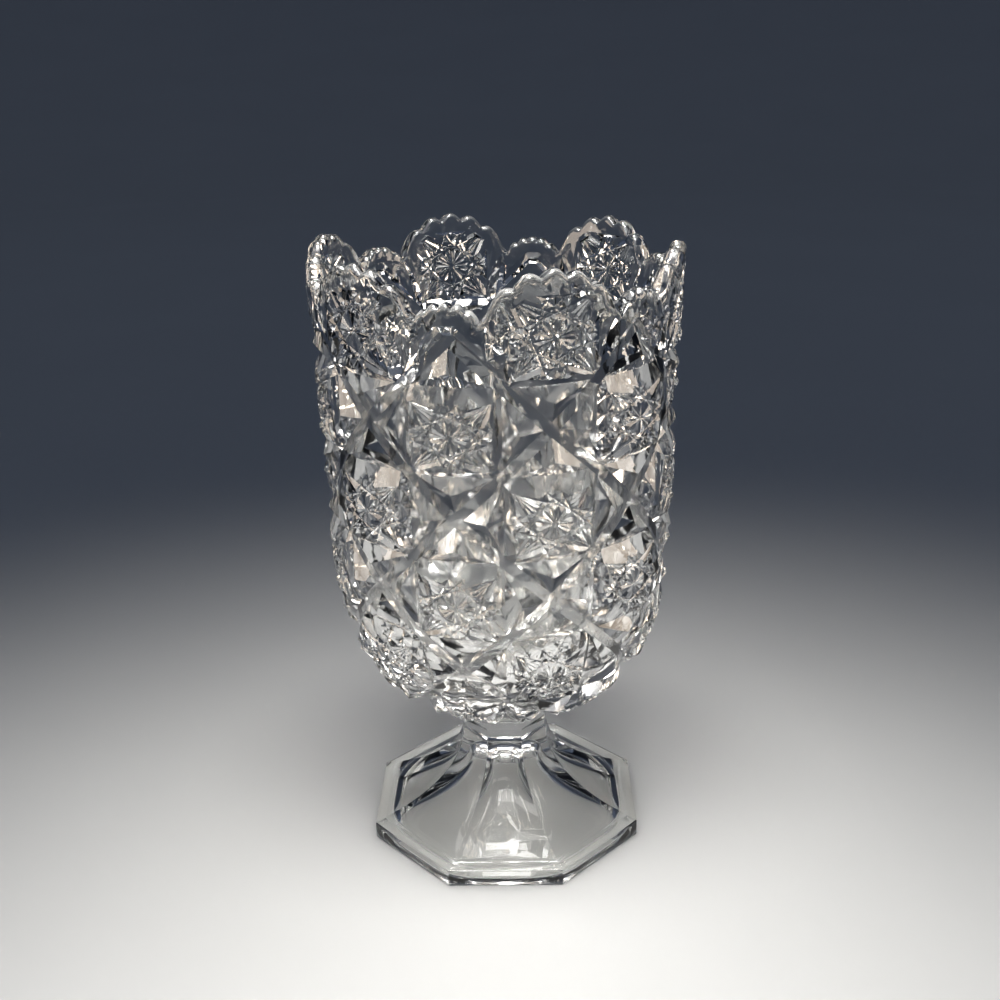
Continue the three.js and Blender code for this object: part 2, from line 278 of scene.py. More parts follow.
def above(polygon, plane):
    """How far each corner of a polygon is above a plane."""
    a, b, c = plane
    return [height - a * x - b * y - c for x, y, height in polygon]


def on_plane(polygon, plane):
    """A polygon with its corners moved straight up or down onto a plane."""
    a, b, c = plane
    return [(x, y, a * x + b * y + c) for x, y, _ in polygon]


def parted(polygon, values):
    """The parts of a polygon where a value that is given at its corners is below zero and above it."""
    if max(values) <= TINY:
        return polygon, None
    if min(values) >= -TINY:
        return None, polygon
    below, beyond = [], []
    for i, (here, value) in enumerate(zip(polygon, values)):
        before, last = polygon[i - 1], values[i - 1]
        if (last < -TINY and value > TINY) or (last > TINY and value < -TINY):
            share = last / (last - value)
            crossing = tuple(p + share * (q - p) for p, q in zip(before, here))
            below.append(crossing)
            beyond.append(crossing)
        if value <= TINY:
            below.append(here)
        if value >= -TINY:
            beyond.append(here)
    return below, beyond


def lowered(polygons, plane):
    """Polygons after everything above a plane is taken down to it."""
    result = []
    for polygon in polygons:
        below, beyond = parted(polygon, above(polygon, plane))
        if below:
            result.append(below)
        if beyond:
            result.append(on_plane(beyond, plane))
    return result


def raised(polygons, floor):
    """Polygons after everything below a level floor is brought up to it."""
    result = []
    for polygon in polygons:
        below, beyond = parted(polygon, above(polygon, (0, 0, floor)))
        if below:
            result.append(on_plane(below, (0, 0, floor)))
        if beyond:
            result.append(beyond)
    return result


def divided(polygons, a, b, c):
    """Polygons after a cut along the line ax + by = c: those on its near side, and those beyond it."""
    near, far = [], []
    for polygon in polygons:
        below, beyond = parted(polygon, [a * x + b * y - c for x, y, _ in polygon])
        if below:
            near.append(below)
        if beyond:
            far.append(beyond)
    return near, far


def facets(polygon, tool):
    """A polygon moved down onto a tool, whose surface is the highest of its planes."""
    result = []
    for plane in tool:
        part = polygon
        for other in tool:
            if part and other is not plane:
                a, b, c = (q - p for p, q in zip(plane, other))
                part = parted(part, [a * x + b * y + c for x, y, _ in part])[0]
        if part:
            result.append(on_plane(part, plane))
    return result


def cut(polygons, tool):
    """Polygons after a tool has taken away what is above it."""
    result = []
    for polygon in polygons:
        clear, rest = [], polygon
        for plane in tool:
            below, rest = parted(rest, above(rest, plane))
            if below:
                clear.append(below)
            if not rest:
                break
        result.extend([*clear, *facets(rest, tool)] if rest else [polygon])
    return result


def direction(degrees):
    """The unit step in a direction, counted anticlockwise from +x."""
    return math.cos(math.radians(degrees)), math.sin(math.radians(degrees))


def along(degrees, distance):
    """The point at a distance from the middle in a direction."""
    x, y = direction(degrees)
    return distance * x, distance * y


def groove(point, angle, depth, half_width, starts=False):
    """A V-shaped groove through a point, or only from that point on."""
    slope = depth / half_width
    ways = [angle + 90, angle - 90] + ([angle + 180] if starts else [])
    return [rising(point, direction(way), slope, -depth) for way in ways]


# The star: grooves that run from the corners past a rosette, with fans at the corners and sides

ring_radius = CORNER_REACH * math.sin(math.radians(point_angle / 2))


def star_rays():
    """One groove for each ray of the rosette, deeper towards its rim."""
    tools = []
    half_angle = math.pi / rosette_rays
    fall = rosette_depth / ring_radius
    for ray in range(rosette_rays):
        x, y = direction((ray + 0.5) * 360 / rosette_rays)
        side = fall / math.tan(half_angle)
        rim_point = (ring_radius * x, ring_radius * y)
        end = rising(rim_point, (x, y), ray_end_steepness * fall, -rosette_depth)
        walls = [(-fall * x - way * side * y, -fall * y + way * side * x, 0) for way in (1, -1)]
        tools.append([*walls, end])
    return tools


def fan_groove(start, angle):
    """One groove of a fan, from its start outwards."""
    return groove(start, angle, fan_groove_depth, fan_groove_half_width, starts=True)


def star_tools():
    """The cuts of a star: its outline, the fans, the rays of the rosette and the button."""
    tools = []
    points = [(i + 0.5) * point_angle for i in range(star_points)]
    for angle in [*points, *CORNER_DIRECTIONS]:
        tangent_point = along(angle, ring_radius)
        tools.append(groove(tangent_point, angle + 90, star_groove_depth, star_groove_half_width))
    for corner in CORNER_DIRECTIONS:
        corner_x, corner_y = along(corner, CORNER_REACH)
        for turn in (-fan_angle, 0, fan_angle):
            reach = (CORNER_REACH - ring_radius) / math.cos(math.radians(turn))
            x, y = along(corner + turn, reach)
            tools.append(fan_groove((corner_x - x, corner_y - y), corner + turn))
    for side in SIDE_DIRECTIONS:
        tools.append(fan_groove(along(side, ring_radius * CORNER_REACH), side))
    button_slope = button_depth / button_radius
    button = [rising((0, 0), direction(point_angle * i), button_slope, -button_depth)
              for i in range(star_points)]
    return [*tools, *star_rays(), button]


def sized(tool, centre, reach):
    """A tool of the unit star, at the size of a square's face."""
    return [(a / reach[0], b / reach[1], c - a * centre[0] / reach[0] - b * centre[1] / reach[1])
            for a, b, c in tool]


STAR_TOOLS = star_tools()
notch = groove_width * math.sqrt(2) / square_height


def half_column(drop):
    """Half the width of a column of squares."""
    return float(outline_at(drop)[0]) * math.radians(column_angle / 2)


def rectangle(left, right, low, high):
    """An uncut face at height 0."""
    return [(left, low, 0), (right, low, 0), (right, high, 0), (left, high, 0)]


def corner_planes(width):
    """The facets that a crossing groove leaves at the corners of a star square."""
    across, up = notch * width, notch * half_square
    length = math.hypot(across, up)
    return [rising((width, way * (half_square - up)), (-up / length, -way * across / length),
                   corner_slope, -pattern_depth) for way in (1, -1)]


def star_square(width):
    """The right-hand half of a raised square with its star."""
    face_width = width - side_bevel
    face_top = half_square - top_bevel + star_top_overlap
    face_low = low_bevel - half_square
    centre = (0, (face_top + face_low) / 2)
    reach = (face_width + star_side_overlap, (face_top - face_low) / 2)
    polygons = [rectangle(0, width, -half_square, half_square)]
    for tool in STAR_TOOLS:
        polygons = cut(polygons, sized(tool, centre, reach))
    bevels = [
        rising((0, half_square), (0, -1), pattern_depth / top_bevel, -pattern_depth),
        rising((0, -half_square), (0, 1), pattern_depth / low_bevel, -pattern_depth),
        rising((width, 0), (-1, 0), pattern_depth / side_bevel, -pattern_depth),
    ]
    for plane in [*bevels, *corner_planes(width)]:
        polygons = lowered(polygons, plane)
    return raised(polygons, -pattern_depth)


def pyramid_wedge(width, turn):
    """A quarter of a cross square: one three-sided pyramid and the grooves beside it."""
    cos, sin = turn

    def at(x, y, height):
        return (x * cos - y * sin) * width, (x * sin + y * cos) * half_square, height

    half_base = 1 - notch
    peak = at(0, -1 + (math.sqrt(2) - 1) * half_base, 0)
    left = at(-half_base, -1, -pattern_depth)
    right = at(half_base, -1, -pattern_depth)
    inner = at(0, -notch, -pattern_depth)
    polygons = [[at(0, 0, 0), at(-1, -1, 0), at(1, -1, 0)]]
    for corners in ((left, right), (right, inner), (inner, left)):
        polygons = lowered(polygons, through([*corners, peak]))
    return raised(polygons, -pattern_depth)


def cross_square(width):
    """The right-hand half of a square with crossing grooves and four pyramids."""
    quarters = [pyramid_wedge(width, turn) for turn in ((1, 0), (0, 1), (-1, 0), (0, -1))]
    return divided(sum(quarters, []), -1, 0, 0)[0]


def skirt(width, height):
    """The right-hand half of a point of the last stretch of pattern, which runs out onto the stem."""
    up = height / 2
    top = [(x * width, up, -pattern_depth) for x in (1, 1 - notch, 0)]
    low = [(x * width, -up, -skirt_depth) for x in (0, 1)]
    loop = [*low, *top]
    return [[loop[i], loop[i + 1], (0, 0, 0)] for i in range(len(loop) - 1)]


# The rim

notch_drop = high_lobe_rise + high_scallop_depth
low_lobe_angle = 2 * column_angle - high_lobe_angle - 2 * low_lobe_shoulder


def lobe_crest(azimuth, angle, top, rise, depth):
    """Drop of a lobe's crest: scallops along an arc."""
    half_width = rim_radius * math.radians(angle) / 2
    arc = (half_width ** 2 + rise ** 2) / (2 * rise)
    across = rim_radius * math.radians(azimuth)
    beat = math.sin(math.pi * (azimuth / angle + 0.5) * scallops)
    return top + arc - math.sqrt(arc ** 2 - across ** 2) + depth * (1 - abs(beat))


def crest(azimuth):
    """Drop of the rim's crest, from the middle of a high lobe to the middle of the next low one."""
    low_start = column_angle - low_lobe_angle / 2
    if azimuth <= high_lobe_angle / 2:
        return lobe_crest(azimuth, high_lobe_angle, 0, high_lobe_rise, high_scallop_depth)
    if azimuth < low_start:
        share = (azimuth - high_lobe_angle / 2) / (low_start - high_lobe_angle / 2)
        return notch_drop + share * (low_lobe_drop + low_lobe_rise + low_scallop_depth - notch_drop)
    return lobe_crest(azimuth - column_angle, low_lobe_angle, low_lobe_drop, low_lobe_rise,
                      low_scallop_depth)


def rim_azimuths():
    """Azimuths at which the rim is stepped, over half a high lobe and half a low one."""
    high_count = scallops * high_scallop_steps
    low_count = scallops * low_scallop_steps
    high = np.arange(high_count / 2 + 1) * high_lobe_angle / high_count
    low = column_angle - np.arange(low_count / 2, -1, -1) * low_lobe_angle / low_count
    return np.concatenate([high, low])


AZIMUTHS = rim_azimuths()
EDGE_DROPS = np.array([crest(azimuth) + rim_round + crest_margin for azimuth in AZIMUTHS])
high_panel_centre = pattern_top - half_square


def wall_thickness(drop):
    """Glass between the outline and the cavity, above the pattern's top ring."""
    return rim_thickness + (pattern_depth + wall_under_pattern - rim_thickness) * drop / pattern_top


def below_rim(polygons, width):
    """Polygons with what lies above the rim's outer edge taken off."""
    lines = list(zip(AZIMUTHS * width / (column_angle / 2), high_panel_centre - EDGE_DROPS))
    lowest = min(y for _, y in lines)
    kept, rest = [], []
    for polygon in polygons:
        (kept if max(y for _, y, _ in polygon) <= lowest else rest).append(polygon)
    for (left, left_y), (right, right_y) in zip(lines, lines[1:]):
        strip, rest = divided(rest, 1, 0, right)
        slope = (right_y - left_y) / (right - left)
        kept += divided(strip, -slope, 1, left_y - slope * left)[0]
    return kept


def leaf_tool(width):
    """The leaf-shaped groove between a high panel and a low one, from its foot to the rim's notch."""
    foot = np.array([width, -half_square])
    tip_drop = notch_drop + rim_round + leaf_stop
    tip = np.array([width * high_lobe_angle / column_angle, high_panel_centre - tip_drop])
    length = np.linalg.norm(tip - foot)
    x, y = (tip - foot) / length
    tool = []
    for part in leaf_parts:
        rise = leaf_power * pattern_depth * part ** (leaf_power - 1) / length
        height = -pattern_depth * (1 - part ** leaf_power)
        spot = foot + part * (tip - foot)
        for way in (1, -1):
            a = rise * x - way * leaf_slope * y
            b = rise * y + way * leaf_slope * x
            tool.append((a, b, height - a * spot[0] - b * spot[1]))
    return tool


def arch_tool(width, slope, height, offset):
    """One wall of the groove that rises over a low panel's pyramid, with a blunted top."""
    length = math.hypot(width, half_square)
    slant = (-half_square / length, width / length)
    halfway = (slant[0] / 2, (1 + slant[1]) / 2)
    size = math.hypot(*halfway)
    halfway = (halfway[0] / size, halfway[1] / size)
    top = notch * half_square
    start = (2 * width + offset * slant[0], top + offset * slant[1])
    blunt = (2 * width, top - arch_blunting + offset)
    near = (2 * width, top - arch_blunting / 2 + offset / halfway[1])
    return [
        rising(start, slant, slope, height),
        rising(blunt, (0, 1), slope, height),
        rising(near, halfway, slope, height),
        (0, 0, -pattern_depth),
    ]


def panels(width):
    """The right-hand half of a high panel, with its star, and the left-hand half of a low panel."""
    polygons = [rectangle(0, 2 * width, -half_square, high_panel_centre)]
    face_low = low_bevel - half_square
    face_top = high_panel_centre - high_star_top
    centre = (0, (face_top + face_low) / 2)
    reach = (width - side_bevel + star_side_overlap, (face_top - face_low) / 2)
    limit_top = face_top + high_star_top_gap
    shoulder = (high_star_shoulder_share * reach[0], limit_top)
    limits = [
        rising((reach[0] + high_star_side_gap, 0), (1, 0), high_star_limit_slope, 0),
        rising((0, limit_top), (0, 1), high_star_limit_slope, 0),
        rising(shoulder, direction(high_star_shoulder_angle), high_star_limit_slope, 0),
    ]
    for tool in STAR_TOOLS:
        polygons = cut(polygons, [*sized(tool, centre, reach), *limits])
    bevel = rising((0, -half_square), (0, 1), pattern_depth / low_bevel, -pattern_depth)
    polygons = lowered(polygons, bevel)
    polygons = cut(polygons, leaf_tool(width))
    polygons = cut(polygons, arch_tool(width, arch_steep_slope, -pattern_depth, 0))
    polygons = cut(polygons, arch_tool(width, arch_bevel_slope, -arch_bevel_depth, arch_bevel_start))
    polygons = raised(polygons, -pattern_depth)
    over_diagonal = divided(polygons, half_square, -width, half_square * 2 * width)[0]
    wedge = divided(pyramid_wedge(width, (1, 0)), 1, 0, 0)[0]
    moved = [[(x + 2 * width, y, height) for x, y, height in polygon] for polygon in wedge]
    return below_rim(over_diagonal, width) + moved


# Assembly of the pattern

def bent(polygons, width, low, high):
    """Polygons cut along evenly spaced lines, so that they can follow the bowl's curves."""
    columns = round(max(x for polygon in polygons for x, _, _ in polygon) / width)
    for step in range(1, bends_across * columns):
        polygons = sum(divided(polygons, 1, 0, width * step / bends_across), [])
    for step in range(1, bends_down):
        polygons = sum(divided(polygons, 0, 1, low + (high - low) * step / bends_down), [])
    return polygons


def laid(polygons, width, centre_drop, mirrored=False):
    """A square's polygons as azimuth, drop and lift. Mirrored squares lie left of the next column."""
    scale = column_angle / 2 / width
    if mirrored:
        return [[(column_angle - x * scale, centre_drop - y, lift) for x, y, lift in reversed(polygon)]
                for polygon in polygons]
    return [[(x * scale, centre_drop - y, lift) for x, y, lift in polygon] for polygon in polygons]


def pattern_polygons():
    """The pattern from the middle of a high lobe to the middle of the next low one."""
    width = half_column(high_panel_centre)
    flat = laid(bent(panels(width), width, -half_square, high_panel_centre), width, high_panel_centre)
    for row in range(square_rows):
        centre = pattern_top + (row + 0.5) * square_height
        width = half_column(centre)
        for column in range(2):
            square = cross_square if (row + column) % 2 == 0 else star_square
            polygons = bent(square(width), width, -half_square, half_square)
            flat += laid(polygons, width, centre, mirrored=column == 1)
    top = pattern_top + square_rows * square_height
    height = outline_length - top
    centre = (top + outline_length) / 2
    width = half_column(centre)
    for mirrored in (False, True):
        polygons = bent(skirt(width, height), width, -height / 2, height / 2)
        flat += laid(polygons, width, centre, mirrored)
    return flat


def rim_polygons():
    """The full-round rim over the same stretch, from its outer edge to its inner one."""
    arcs = []
    for azimuth, drop in zip(AZIMUTHS, EDGE_DROPS):
        thickness = wall_thickness(drop)
        arcs.append([
            (azimuth, drop - rim_round * math.sin(turn), -thickness * (1 - math.cos(turn)) / 2)
            for turn in np.linspace(0, math.pi, rim_steps + 1)
        ])
    return [[left[i], right[i], right[i + 1], left[i + 1]]
            for left, right in zip(arcs, arcs[1:]) for i in range(rim_steps)]


def cavity_mesh():
    """The smooth inside, from the rim's inner edge to the middle of the floor."""
    wall = pattern_depth + wall_under_pattern
    top_radius, top_height = outline_at(pattern_top)[:2]
    upper = []
    for share in np.linspace(0, 1, cavity_top_rings + 1):
        drops = EDGE_DROPS + share * (pattern_top - EDGE_DROPS)
        radius, height, out, down = outline_at(drops)
        lift = -wall_thickness(drops)
        upper.append(polar(AZIMUTHS, radius - down * lift, height + out * lift))
    foot_of_wall = [(top_radius - wall, top_height), (shoulder_radius - wall, shoulder_height)]
    straight = np.linspace(*np.array(foot_of_wall, float), cavity_wall_rings + 1)[1:]
    curve = bezier([
        (shoulder_radius - wall, shoulder_height),
        (shoulder_radius - wall, shoulder_height - shoulder_reach),
        (shoulder_radius - belly_tuck - wall, bottom_thickness),
        (0, bottom_thickness),
    ], cavity_floor_rings)[1:]
    lower = [polar(AZIMUTHS, radius, height) for radius, height in [*straight, *curve]]
    count = len(AZIMUTHS)
    middle = (len(upper) + len(lower) - 1) * count
    corners = np.vstack([*upper, *lower[:-1], lower[-1][:1]])
    loops = []
    for start in range(0, middle, count):
        for i in range(start, start + count - 1):
            deeper = [min(i + count + 1, middle), min(i + count, middle)]
            loops.append([i, i + 1, *dict.fromkeys(deeper)])
    return corners, loops


def in_order(places, numbers, start, end):
    """The numbered places that lie strictly inside a side, from its start to its end."""
    side = end - start
    length = side.length
    found = []
    for number in numbers:
        offset = places[number] - start
        share = offset.dot(side) / length ** 2
        miss = (offset - share * side).length
        if miss < ON_SIDE and ON_SIDE < share * length < length - ON_SIDE:
            found.append((share, number))
    return [number for _, number in sorted(found)]


def without_spikes(loop):
    """A loop with the stretches left out that run out and straight back."""
    i = 0
    while i < len(loop) and len(loop) > 2:
        count = len(loop)
        if loop[i - 1] == loop[(i + 1) % count]:
            loop = [loop[(i + step) % count] for step in range(1, count - 1)]
            i = 0
        else:
            i += 1
    return loop


def search_tree(places, numbers):
    """A tree for finding the numbered places that are near a point."""
    tree = KDTree(len(numbers))
    for number in numbers:
        tree.insert(places[number], number)
    tree.balance()
    return tree


def welded(places):
    """For each place, the number of the first one that it falls together with."""
    tree = search_tree(places, range(len(places)))
    first = []
    for i, place in enumerate(places):
        lowest = min(number for _, number, _ in tree.find_range(place, WELD))
        first.append(first[lowest] if lowest < i else i)
    return first


def joined(polygons):
    """All corners, and the polygons as loops of their numbers.

    Corners that fall together become one, and a corner on another polygon's side is added to it.
    """
    corners = [corner for polygon in polygons for corner in polygon]
    scale = Vector((math.radians(1) * rim_radius, 1, 1))
    places = [Vector(corner) * scale for corner in corners]
    first = welded(places)
    tree = search_tree(places, sorted(set(first)))
    loops = []
    start = 0
    for polygon in polygons:
        numbers = first[start:start + len(polygon)]
        start += len(polygon)
        loop = []
        for before, here in zip([numbers[-1], *numbers], numbers):
            if before == here:
                continue
            a, b = places[before], places[here]
            near = tree.find_range((a + b) / 2, (b - a).length / 2 + WELD)
            loop += [*in_order(places, [number for _, number, _ in near], a, b), here]
        loops.append(without_spikes(loop))
    return corners, loops


# Meshes

def on_bowl_turned(corners, turn, mirror):
    """Places on the bowl of flat corners, mirrored or not and turned about the axis."""
    return on_bowl(corners * (mirror, 1, 1) + (turn, 0, 0))


def in_space_turned(corners, turn, mirror):
    """Places of corners in space above the bowl's base, mirrored or not and turned about the axis."""
    angle = math.radians(bowl_turn + turn)
    x, y = corners[:, 0] * mirror, corners[:, 1]
    turned_x = x * math.cos(angle) - y * math.sin(angle)
    turned_y = x * math.sin(angle) + y * math.cos(angle)
    return np.column_stack([turned_x, turned_y, corners[:, 2] + bowl_base])


def add_round(mesh, corners, loops, turned):
    """Faces of half a lobe pair, mirrored and repeated round the bowl."""
    corners = np.array(corners, float)
    numbers = dict.fromkeys(i for loop in loops for i in loop)
    faces = []
    for pair in range(lobe_pairs):
        for mirror in (1, -1):
            places = turned(corners, 2 * column_angle * pair, mirror) * MM
            vertices = {i: mesh.verts.new(places[i]) for i in numbers}
            for loop in loops:
                faces.append(mesh.faces.new([vertices[i] for i in loop[::mirror]]))
    return faces


def octagon(across, height, scoop=0.0, corner_share=0.0):
    """An eight-sided loop with a flat to the front and rounded corners. Scoop hollows the flats.

    Corner share is the least part of a flat that the rounding takes.
    """
    apothem = across / 2
    half_flat = apothem * math.tan(half_side)
    end = 1 - max(corner_round / half_flat, corner_share)
    shares = np.linspace(-end, end, panel_steps + 1)
    flat = np.column_stack([shares * half_flat, scoop * (1 - shares ** 2) - apothem])
    slope = -2 * scoop * end / half_flat
    x, y = flat[-1]
    run = -(x + y * math.tan(half_side)) / (1 + slope * math.tan(half_side))
    tip = np.array([x + run, y + slope * run])
    turn = Matrix.Rotation(2 * half_side, 2)
    steps = np.linspace(0, 1, corner_steps + 1)[1:-1, None]
    after = np.array(turn @ Vector(flat[0]))
    corner = (1 - steps) ** 2 * flat[-1] + 2 * (1 - steps) * steps * tip + steps ** 2 * after
    side = [Vector(point) for point in [*flat, *corner]]
    loop = []
    for _ in range(SIDES):
        loop += [(*point, height) for point in side]
        side = [turn @ point for point in side]
    return loop


def add_loops(mesh, loops):
    """Walls between loops that run the same way, from the lowest one on the outside upwards."""
    rings = [[mesh.verts.new(np.array(point) * MM) for point in loop] for loop in loops]
    for low, high in zip(rings, rings[1:]):
        for i in range(len(low)):
            mesh.faces.new([low[i - 1], low[i], high[i], high[i - 1]])
    return rings


def finished(mesh, name, crease, materials, faces_of):
    """An object from a mesh, smooth except along its creases, riding on the vase's one body.

    Each set in faces_of has the next material after the first, which the other faces have.
    """
    for edge in mesh.edges:
        edge.smooth = edge.calc_face_angle(0) < math.radians(crease(edge))
    for face in mesh.faces:
        face.smooth = True
    for index, faces in enumerate(faces_of, 1):
        for face in faces:
            face.material_index = index
    data = bpy.data.meshes.new(name)
    mesh.to_mesh(data)
    mesh.free()
    for material in materials:
        data.materials.append(material)
    piece = bpy.data.objects.new(name, data)
    bpy.context.scene.collection.objects.link(piece)
    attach(piece, "root")
    return piece


def hollow_outline():
    """The middle of a flat of the foot's hollow, from the dome down to the lip: apothem and height."""
    inset = foot_across / 2 - contact_width
    dome_foot = hollow_height - dome_rise
    lip_apothem = inset - lip_run
    dome = [(hollow_neck_radius * math.sin(turn), dome_foot + dome_rise * math.cos(turn))
            for turn in np.linspace(dome_top_turn, math.pi / 2, dome_rings + 1)]
    flare = bezier([
        (hollow_neck_radius, dome_foot),
        (hollow_neck_radius + hollow_neck_run, dome_foot - hollow_neck_drop),
        (lip_apothem - flare_run, lip_rise + flare_rise),
        (lip_apothem, lip_rise),
    ], hollow_rings)
    worn_height = wear_width * lip_rise / lip_run
    return [*dome, *flare[1:], (inset - wear_width, worn_height), (inset, 0)]


def foot_edge():
    """The outside of the foot's edge, rounded below and above: apothem and height."""
    turns = np.linspace(0, math.pi / 2, round_steps + 1)
    low = [(foot_across / 2 - edge_round * (1 - math.sin(turn)), edge_round * (1 - math.cos(turn)))
           for turn in turns]
    high = [(foot_across / 2 - edge_round * (1 - math.cos(turn)),
             foot_edge_height - edge_round * (1 - math.sin(turn))) for turn in turns[:-1]]
    return [*low, *high]


def sweep_loops():
    """The fine raised seam along the foot's edge, and the hollowed panels up to the neck."""
    sweep = bezier([
        (foot_across / 2, foot_edge_height),
        (foot_across / 2 - sweep_run, foot_edge_height + sweep_rise),
        (neck_across / 2, foot_height - neck_straight),
        (neck_across / 2, foot_height),
    ], sweep_rings)
    seam = foot_across / 2 - seam_inset
    loops = []
    for step, rise in ((1, 0), (0, seam_rise), (-1, 0)):
        apothem = seam + step * seam_width / 2
        loops.append(octagon(2 * apothem, np.interp(-apothem, -sweep[:, 0], sweep[:, 1]) + rise))
    for ring, (apothem, height) in enumerate(sweep):
        if apothem < seam - seam_width / 2:
            scoop = panel_scoop * math.sin(math.pi * ring / sweep_rings) ** 2
            loops.append(octagon(2 * apothem, height, scoop))
    return loops


def faces_at(ring):
    """The faces that touch a ring of vertices."""
    return {face for vertex in ring for face in vertex.link_faces}


def build_foot(materials):
    """The foot, from the hollow's dome down to the contact rim, round the edge and up to the stem."""
    mesh = bmesh.new()
    loops = [octagon(2 * apothem, height, corner_share=hollow_corner_share)
             for apothem, height in hollow_outline()]
    contact = len(loops) - 1
    loops += [octagon(2 * apothem, height) for apothem, height in foot_edge()]
    loops += [*sweep_loops(), octagon(stem_across, foot_height)]
    rings = add_loops(mesh, loops)
    worn = faces_at(rings[contact - 1]) & faces_at(rings[contact])
    mesh.faces.new(rings[0][::-1])
    top = mesh.faces.new(rings[-1])
    return finished(mesh, "pressed_foot", lambda edge: ridge_crease, materials, [[top], worn])


def build_stem(materials):
    """The stem: a plain eight-sided block."""
    mesh = bmesh.new()
    rings = add_loops(mesh, [octagon(stem_across, stem_low.z), octagon(stem_across, stem_high.z)])
    bottom = mesh.faces.new(rings[0][::-1])
    top = mesh.faces.new(rings[-1])
    return finished(mesh, "pressed_stem", lambda edge: ridge_crease, materials, [[bottom, top]])


def around(vertex):
    """The angle of a vertex round the vase's axis."""
    return math.atan2(vertex.co.y, vertex.co.x)


def add_seat(mesh, ring):
    """The bowl's eight-sided seat, and the faces from it up to the loop where the pattern ends."""
    seat = [mesh.verts.new(np.array(point) * MM) for point in octagon(stem_across, bowl_base)]
    bottom = mesh.faces.new(seat[::-1])
    upper, lower = (sorted(loop, key=around) for loop in (ring, seat))
    i = j = 0
    while i < len(upper) or j < len(lower):
        high, low = upper[i % len(upper)], lower[j % len(lower)]
        if j == len(lower) or (i < len(upper) and around(high) < around(low)):
            mesh.faces.new([lower[j - 1], high, upper[i - 1]])
            i += 1
        else:
            mesh.faces.new([upper[i - 1], lower[j - 1], low])
            j += 1
    return bottom


def build_bowl(materials):
    """The bowl, closed by the cavity inside and by its seat on the stem."""
    mesh = bmesh.new()
    pattern = pattern_polygons()
    corners, loops = joined(pattern + rim_polygons())
    relief = [loop for loop in loops[:len(pattern)] if len(loop) > 2]
    cut_faces = set(add_round(mesh, corners, relief, on_bowl_turned))
    add_round(mesh, corners, loops[len(pattern):], on_bowl_turned)
    inside = add_round(mesh, *cavity_mesh(), in_space_turned)
    bmesh.ops.remove_doubles(mesh, verts=mesh.verts, dist=MATCH * MM)
    ring = {vertex for edge in mesh.edges if edge.is_boundary for vertex in edge.verts}
    bottom = add_seat(mesh, ring)

    def crease(edge):
        return relief_crease if cut_faces.issuperset(edge.link_faces) else smooth_crease

    return finished(mesh, "pressed_bowl", crease, materials, [[bottom], inside])


# Materials

def add_node(tree, kind, values=None):
    """A new node, with values on its own sockets."""
    node = tree.nodes.new(kind)
    for socket, value in (values or {}).items():
        node.inputs[socket].default_value = value
    return node


def add_ramp(tree, low_colour, high_colour):
    """A new colour ramp between two colours."""
    node = tree.nodes.new("ShaderNodeValToRGB")
    for element, colour in zip(node.color_ramp.elements, (low_colour, high_colour)):
        element.color = (*colour, 1)
    return node


def clear_glass():
    """Clear pressed glass with uneven polish, a very faint tint and faint waves from the mould."""
    material = bpy.data.materials.new("clear_glass")
    material.use_nodes = True
    tree = material.node_tree
    link = tree.links.new
    shader = tree.nodes["Principled BSDF"]
    shader.inputs["Transmission Weight"].default_value = 1
    shader.inputs["IOR"].default_value = 1.52
    place = add_node(tree, "ShaderNodeTexCoord")

    polish = add_node(tree, "ShaderNodeTexNoise", {"Scale": 60, "Detail": 6})
    polish.name = "polish"
    link(place.outputs["Object"], polish.inputs["Vector"])
    roughness = add_node(tree, "ShaderNodeMapRange", {"From Min": 0.35, "From Max": 0.7, "To Max": 0.03})
    link(polish.outputs["Fac"], roughness.inputs["Value"])
    link(roughness.outputs["Result"], shader.inputs["Roughness"])

    tint = add_ramp(tree, (0.955, 0.96, 0.945), (0.985, 0.985, 0.975))
    link(polish.outputs["Fac"], tint.inputs["Fac"])
    link(tint.outputs["Color"], shader.inputs["Base Color"])

    waves = add_node(tree, "ShaderNodeTexNoise", {"Scale": 140, "Detail": 2})
    link(place.outputs["Object"], waves.inputs["Vector"])
    bump = add_node(tree, "ShaderNodeBump", {"Strength": 0.05, "Distance": 0.0004})
    link(waves.outputs["Fac"], bump.inputs["Height"])
    link(bump.outputs["Normal"], shader.inputs["Normal"])
    return material


def water_marked_glass(clear):
    """The same glass with a film of old water inside the bowl, up to a line below the rim."""
    material = clear.copy()
    material.name = "water_marked_glass"
    tree = material.node_tree
    link = tree.links.new
    place = add_node(tree, "ShaderNodeTexCoord")
    part = add_node(tree, "ShaderNodeSeparateXYZ")
    link(place.outputs["Object"], part.inputs["Vector"])
    film = add_node(tree, "ShaderNodeMapRange", {
        "From Min": (bowl_high.z - water_line) * MM,
        "From Max": (bowl_high.z - water_line - water_fade) * MM,
        "To Min": 0.02,
        "To Max": 0.105,
    })
    link(part.outputs["Z"], film.inputs["Value"])
    patches = add_node(tree, "ShaderNodeMapRange", {"From Min": 0.3, "From Max": 0.7, "To Min": 0.7})
    link(tree.nodes["polish"].outputs["Fac"], patches.inputs["Value"])
    haze = add_node(tree, "ShaderNodeMath")
    haze.operation = "MULTIPLY"
    link(film.outputs["Result"], haze.inputs[0])
    link(patches.outputs["Result"], haze.inputs[1])
    link(haze.outputs["Value"], tree.nodes["Principled BSDF"].inputs["Roughness"])
    return material


